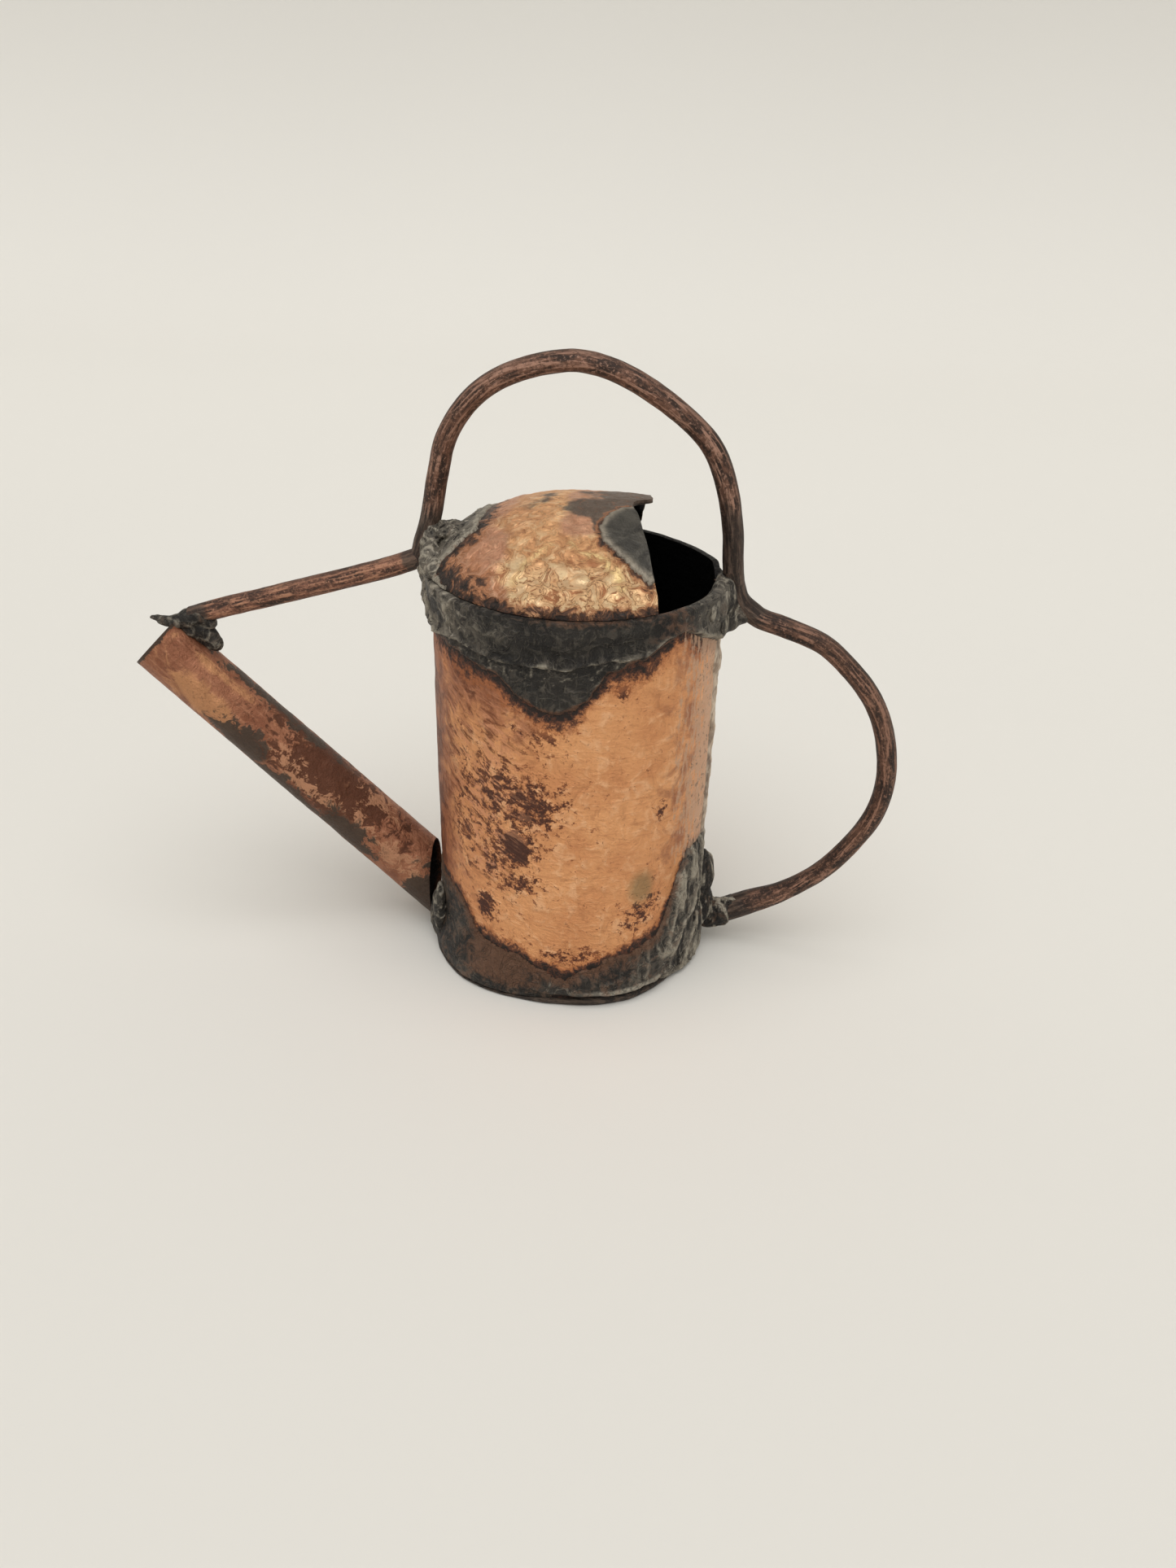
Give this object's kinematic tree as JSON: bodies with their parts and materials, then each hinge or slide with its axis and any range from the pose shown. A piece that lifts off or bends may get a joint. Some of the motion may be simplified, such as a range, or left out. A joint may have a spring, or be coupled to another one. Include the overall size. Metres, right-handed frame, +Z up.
{
  "type": "watering can",
  "caption": "Miniature soldered copper watering can: cylindrical body, half hood over the top, straight braced spout, wire bail and wire rear handle.",
  "frame": {"origin": "middle of the body's foot, on the underside of the base disc", "axes": "+Z up along the body's axis, +X from the body towards the rear handle, so the spout points towards -X"},
  "size_m": [0.0771, 0.0298, 0.0614],
  "materials": {
    "copper": "worn",
    "brown_copper": "worn",
    "solder": "matte"
  },
  "bodies": {
    "root": {"body_shell": "copper", "base_disc": "brown_copper", "rim_collar": "solder", "hood": "copper", "hood_seam_solder": "solder", "hood_patch_solder": "solder", "front_solder_run": "solder", "seam_solder": "solder", "base_solder": "solder", "spout_tube": "brown_copper", "spout_root_solder": "solder", "spout_tip_solder": "solder", "spout_brace": "brown_copper", "bail_handle": "brown_copper", "rear_handle": "brown_copper", "front_joint_solder": "solder", "rear_joint_solder": "solder", "handle_foot_solder": "solder"}
  },
  "joints": []
}
